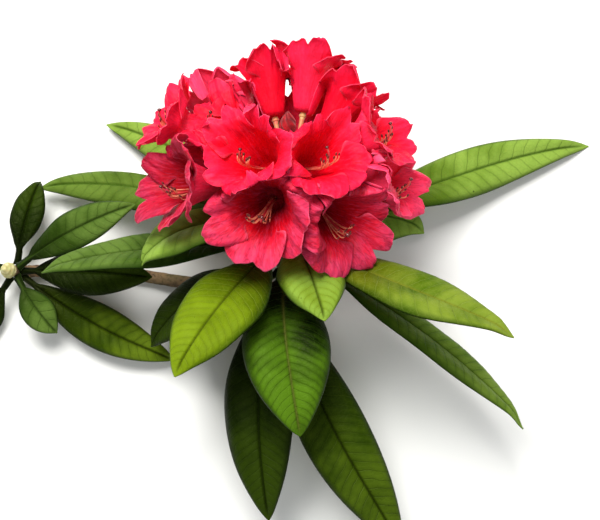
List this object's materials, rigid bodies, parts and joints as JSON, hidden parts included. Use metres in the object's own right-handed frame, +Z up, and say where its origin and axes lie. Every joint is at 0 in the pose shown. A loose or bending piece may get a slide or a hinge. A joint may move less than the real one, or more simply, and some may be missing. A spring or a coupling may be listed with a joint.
{
  "type": "flowering rhododendron shoot, cut",
  "caption": "Cut flowering shoot of a rhododendron: a dome of open red bell flowers over a collar of leathery leaves, with a leafy side shoot, laid down.",
  "frame": {"origin": "middle of the bounding box's underside, on the surface that the cut shoot lies on", "axes": "+X along the widest spread of the leaves, +Y from the stem's cut end towards the flowers, +Z up from the surface"},
  "size_m": [0.3373, 0.2463, 0.1202],
  "materials": {
    "bark": "rough brown bark with leaf scars",
    "truss_stalk": "green, slightly downy",
    "leaf": "leathery satin green with sunken veins and a paler underside",
    "side_leaf": "leathery satin dark green with a paler underside",
    "petal": "silky crimson with dark veins in the throat",
    "flower_bud": "silky dark red, folded",
    "leaf_bud": "matt cream bud scales"
  },
  "bodies": {
    "root": {"stem": "bark", "side_twig": "bark", "truss_axis": "truss_stalk", "truss_bud": "flower_bud", "side_bud": "leaf_bud", "leaf_01": "leaf", "leaf_02": "leaf", "leaf_03": "leaf", "leaf_04": "leaf", "leaf_05": "leaf", "leaf_06": "leaf", "leaf_07": "leaf", "leaf_08": "leaf", "leaf_09": "leaf", "leaf_10": "leaf", "leaf_11": "leaf", "leaf_12": "leaf", "leaf_13": "leaf", "leaf_14": "leaf", "leaf_15": "leaf", "leaf_16": "leaf", "leaf_17": "leaf", "leaf_18": "leaf", "side_leaf_1": "side_leaf", "side_leaf_2": "side_leaf", "side_leaf_3": "side_leaf", "side_leaf_4": "side_leaf", "side_leaf_5": "side_leaf", "side_leaf_6": "side_leaf", "side_leaf_7": "side_leaf", "flower_01": "petal", "flower_02": "petal", "flower_03": "petal", "flower_04": "petal", "flower_05": "petal", "flower_06": "petal", "flower_07": "petal", "flower_08": "petal", "flower_09": "petal", "flower_10": "petal", "flower_11": "petal", "flower_12": "petal", "flower_13": "petal", "flower_14": "petal", "flower_15": "petal", "flower_16": "petal", "flower_17": "petal"}
  },
  "joints": []
}
